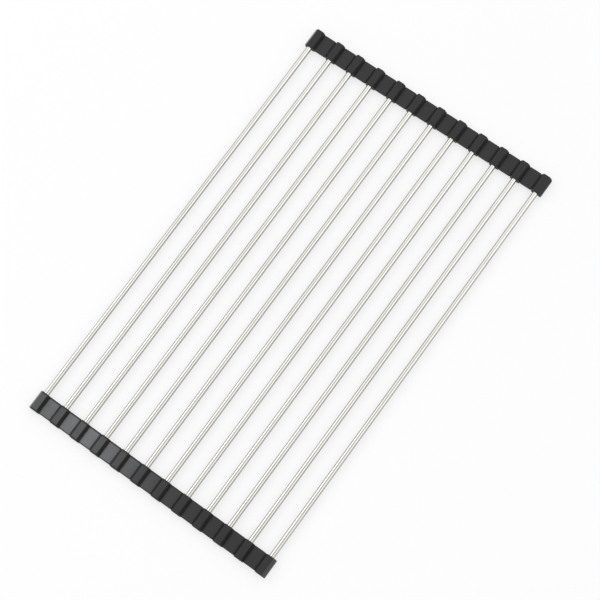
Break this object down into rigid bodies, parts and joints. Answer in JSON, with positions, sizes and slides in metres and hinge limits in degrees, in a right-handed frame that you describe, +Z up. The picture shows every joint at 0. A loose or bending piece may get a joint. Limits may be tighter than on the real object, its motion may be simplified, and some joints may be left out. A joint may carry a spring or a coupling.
{
  "type": "roll-up dish rack",
  "caption": "Flat rack of parallel steel tubes whose ends sit in two jointed rubber strips; it lies over a sink to drain dishes and rolls up.",
  "frame": {"origin": "under the middle of the flat rack, on the surface that it lies on", "axes": "+X along the tubes, +Y across them towards the first tube, +Z up"},
  "size_m": [0.5012, 0.3008, 0.01],
  "materials": {
    "steel": "satin",
    "block_rubber": "satin moulded silicone",
    "link_rubber": "satin moulded silicone"
  },
  "bodies": {
    "bar_01": {"tube_01": "steel", "left_block_01": "block_rubber", "right_block_01": "block_rubber"},
    "bar_02": {"tube_02": "steel", "left_block_02": "block_rubber", "right_block_02": "block_rubber"},
    "bar_03": {"tube_03": "steel", "left_block_03": "block_rubber", "right_block_03": "block_rubber"},
    "bar_04": {"tube_04": "steel", "left_block_04": "block_rubber", "right_block_04": "block_rubber"},
    "bar_05": {"tube_05": "steel", "left_block_05": "block_rubber", "right_block_05": "block_rubber"},
    "bar_06": {"tube_06": "steel", "left_block_06": "block_rubber", "right_block_06": "block_rubber"},
    "bar_07": {"tube_07": "steel", "left_block_07": "block_rubber", "right_block_07": "block_rubber"},
    "bar_08": {"tube_08": "steel", "left_block_08": "block_rubber", "right_block_08": "block_rubber"},
    "bar_09": {"tube_09": "steel", "left_block_09": "block_rubber", "right_block_09": "block_rubber"},
    "bar_10": {"tube_10": "steel", "left_block_10": "block_rubber", "right_block_10": "block_rubber"},
    "bar_11": {"tube_11": "steel", "left_block_11": "block_rubber", "right_block_11": "block_rubber"},
    "bar_12": {"tube_12": "steel", "left_block_12": "block_rubber", "right_block_12": "block_rubber"},
    "link_01": {"left_link_01": "link_rubber", "right_link_01": "link_rubber"},
    "link_02": {"left_link_02": "link_rubber", "right_link_02": "link_rubber"},
    "link_03": {"left_link_03": "link_rubber", "right_link_03": "link_rubber"},
    "link_04": {"left_link_04": "link_rubber", "right_link_04": "link_rubber"},
    "link_05": {"left_link_05": "link_rubber", "right_link_05": "link_rubber"},
    "link_06": {"left_link_06": "link_rubber", "right_link_06": "link_rubber"},
    "link_07": {"left_link_07": "link_rubber", "right_link_07": "link_rubber"},
    "link_08": {"left_link_08": "link_rubber", "right_link_08": "link_rubber"},
    "link_09": {"left_link_09": "link_rubber", "right_link_09": "link_rubber"},
    "link_10": {"left_link_10": "link_rubber", "right_link_10": "link_rubber"},
    "link_11": {"left_link_11": "link_rubber", "right_link_11": "link_rubber"}
  },
  "joints": [
    {"name": "web_01_back_bend", "type": "hinge", "parent": "bar_01", "child": "link_01", "pos_m": [0, 0.1381, 0.0044], "axis": [-1, 0, 0], "range_deg": [0, 20]},
    {"name": "web_01_front_bend", "type": "hinge", "parent": "link_01", "child": "bar_02", "pos_m": [0, 0.1239, 0.0044], "axis": [-1, 0, 0], "range_deg": [0, 20]},
    {"name": "web_02_back_bend", "type": "hinge", "parent": "bar_02", "child": "link_02", "pos_m": [0, 0.1119, 0.0044], "axis": [-1, 0, 0], "range_deg": [0, 20]},
    {"name": "web_02_front_bend", "type": "hinge", "parent": "link_02", "child": "bar_03", "pos_m": [0, 0.0977, 0.0044], "axis": [-1, 0, 0], "range_deg": [0, 20]},
    {"name": "web_03_back_bend", "type": "hinge", "parent": "bar_03", "child": "link_03", "pos_m": [0, 0.0857, 0.0044], "axis": [-1, 0, 0], "range_deg": [0, 20]},
    {"name": "web_03_front_bend", "type": "hinge", "parent": "link_03", "child": "bar_04", "pos_m": [0, 0.0715, 0.0044], "axis": [-1, 0, 0], "range_deg": [0, 20]},
    {"name": "web_04_back_bend", "type": "hinge", "parent": "bar_04", "child": "link_04", "pos_m": [0, 0.0595, 0.0044], "axis": [-1, 0, 0], "range_deg": [0, 20]},
    {"name": "web_04_front_bend", "type": "hinge", "parent": "link_04", "child": "bar_05", "pos_m": [0, 0.0453, 0.0044], "axis": [-1, 0, 0], "range_deg": [0, 20]},
    {"name": "web_05_back_bend", "type": "hinge", "parent": "bar_05", "child": "link_05", "pos_m": [0, 0.0333, 0.0044], "axis": [-1, 0, 0], "range_deg": [0, 20]},
    {"name": "web_05_front_bend", "type": "hinge", "parent": "link_05", "child": "bar_06", "pos_m": [0, 0.0191, 0.0044], "axis": [-1, 0, 0], "range_deg": [0, 20]},
    {"name": "web_06_back_bend", "type": "hinge", "parent": "bar_06", "child": "link_06", "pos_m": [0, 0.0071, 0.0044], "axis": [-1, 0, 0], "range_deg": [0, 20]},
    {"name": "web_06_front_bend", "type": "hinge", "parent": "link_06", "child": "bar_07", "pos_m": [0, -0.0071, 0.0044], "axis": [-1, 0, 0], "range_deg": [0, 20]},
    {"name": "web_07_back_bend", "type": "hinge", "parent": "bar_07", "child": "link_07", "pos_m": [0, -0.0191, 0.0044], "axis": [-1, 0, 0], "range_deg": [0, 20]},
    {"name": "web_07_front_bend", "type": "hinge", "parent": "link_07", "child": "bar_08", "pos_m": [0, -0.0333, 0.0044], "axis": [-1, 0, 0], "range_deg": [0, 20]},
    {"name": "web_08_back_bend", "type": "hinge", "parent": "bar_08", "child": "link_08", "pos_m": [0, -0.0453, 0.0044], "axis": [-1, 0, 0], "range_deg": [0, 30]},
    {"name": "web_08_front_bend", "type": "hinge", "parent": "link_08", "child": "bar_09", "pos_m": [0, -0.0595, 0.0044], "axis": [-1, 0, 0], "range_deg": [0, 30]},
    {"name": "web_09_back_bend", "type": "hinge", "parent": "bar_09", "child": "link_09", "pos_m": [0, -0.0715, 0.0044], "axis": [-1, 0, 0], "range_deg": [0, 30]},
    {"name": "web_09_front_bend", "type": "hinge", "parent": "link_09", "child": "bar_10", "pos_m": [0, -0.0857, 0.0044], "axis": [-1, 0, 0], "range_deg": [0, 30]},
    {"name": "web_10_back_bend", "type": "hinge", "parent": "bar_10", "child": "link_10", "pos_m": [0, -0.0977, 0.0044], "axis": [-1, 0, 0], "range_deg": [0, 30]},
    {"name": "web_10_front_bend", "type": "hinge", "parent": "link_10", "child": "bar_11", "pos_m": [0, -0.1119, 0.0044], "axis": [-1, 0, 0], "range_deg": [0, 30]},
    {"name": "web_11_back_bend", "type": "hinge", "parent": "bar_11", "child": "link_11", "pos_m": [0, -0.1239, 0.0044], "axis": [-1, 0, 0], "range_deg": [0, 30]},
    {"name": "web_11_front_bend", "type": "hinge", "parent": "link_11", "child": "bar_12", "pos_m": [0, -0.1381, 0.0044], "axis": [-1, 0, 0], "range_deg": [0, 30]}
  ],
  "couplings": [
    {"joint": "web_01_front_bend", "follows": "web_01_back_bend", "ratio": 1},
    {"joint": "web_02_front_bend", "follows": "web_02_back_bend", "ratio": 1},
    {"joint": "web_03_front_bend", "follows": "web_03_back_bend", "ratio": 1},
    {"joint": "web_04_front_bend", "follows": "web_04_back_bend", "ratio": 1},
    {"joint": "web_05_front_bend", "follows": "web_05_back_bend", "ratio": 1},
    {"joint": "web_06_front_bend", "follows": "web_06_back_bend", "ratio": 1},
    {"joint": "web_07_front_bend", "follows": "web_07_back_bend", "ratio": 1},
    {"joint": "web_08_front_bend", "follows": "web_08_back_bend", "ratio": 1},
    {"joint": "web_09_front_bend", "follows": "web_09_back_bend", "ratio": 1},
    {"joint": "web_10_front_bend", "follows": "web_10_back_bend", "ratio": 1},
    {"joint": "web_11_front_bend", "follows": "web_11_back_bend", "ratio": 1}
  ]
}
